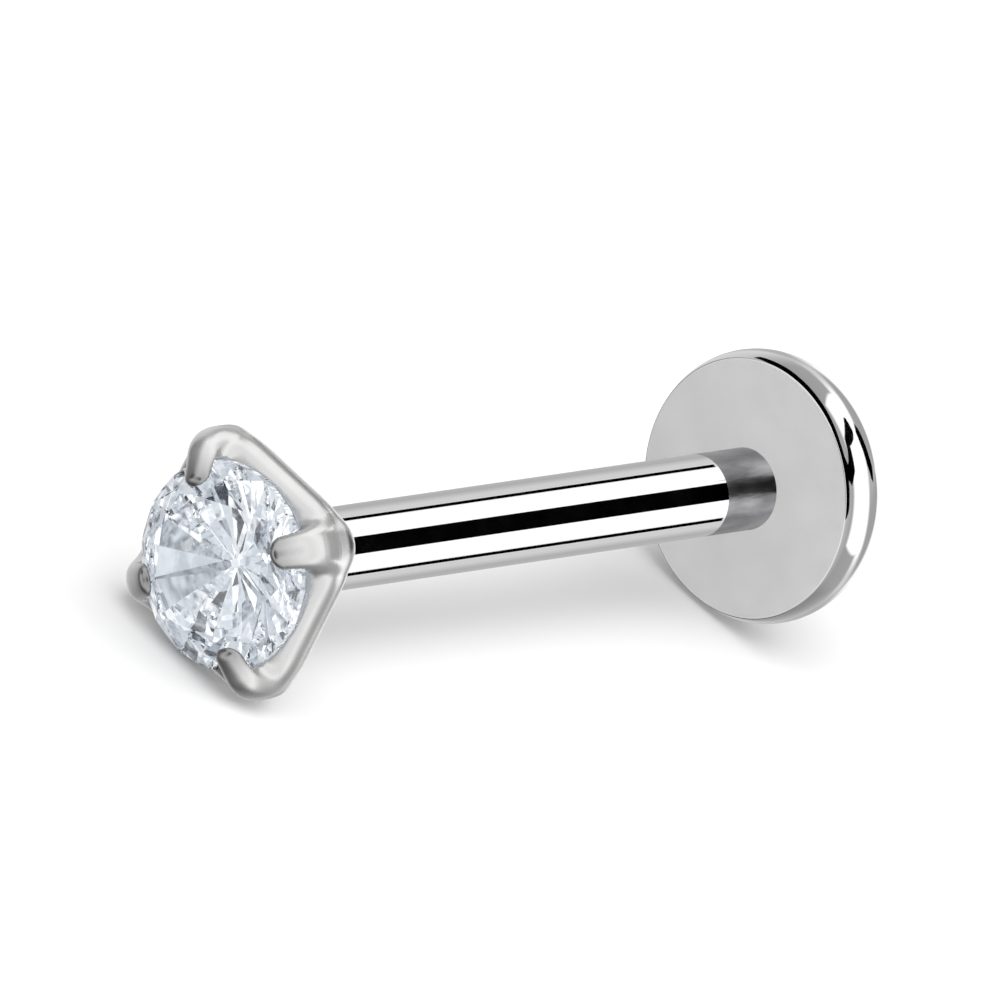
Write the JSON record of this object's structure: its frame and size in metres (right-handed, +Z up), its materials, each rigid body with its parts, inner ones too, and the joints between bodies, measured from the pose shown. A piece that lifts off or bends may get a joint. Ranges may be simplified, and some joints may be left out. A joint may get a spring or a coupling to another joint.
{
  "type": "labret stud",
  "caption": "Flat-back piercing stud: a straight post with a rounded disc at one end and a prong-set, round brilliant-cut clear stone at the other.",
  "frame": {"origin": "middle of the stud's length and width, on the surface that it lies on", "axes": "+Z up, +X along the stud from the stone to the disc; the post's own axis tips 1.9 degrees, lower at the stone"},
  "size_m": [0.013, 0.004, 0.004],
  "materials": {
    "polished_steel": "mirror polish, with a fine satin skin side on the disc",
    "satin_steel": "soft satin polish",
    "clear_stone": "cut and polished facets"
  },
  "bodies": {
    "root": {"flatback_post": "polished_steel", "prong_setting": "satin_steel", "gemstone": "clear_stone"}
  },
  "joints": []
}
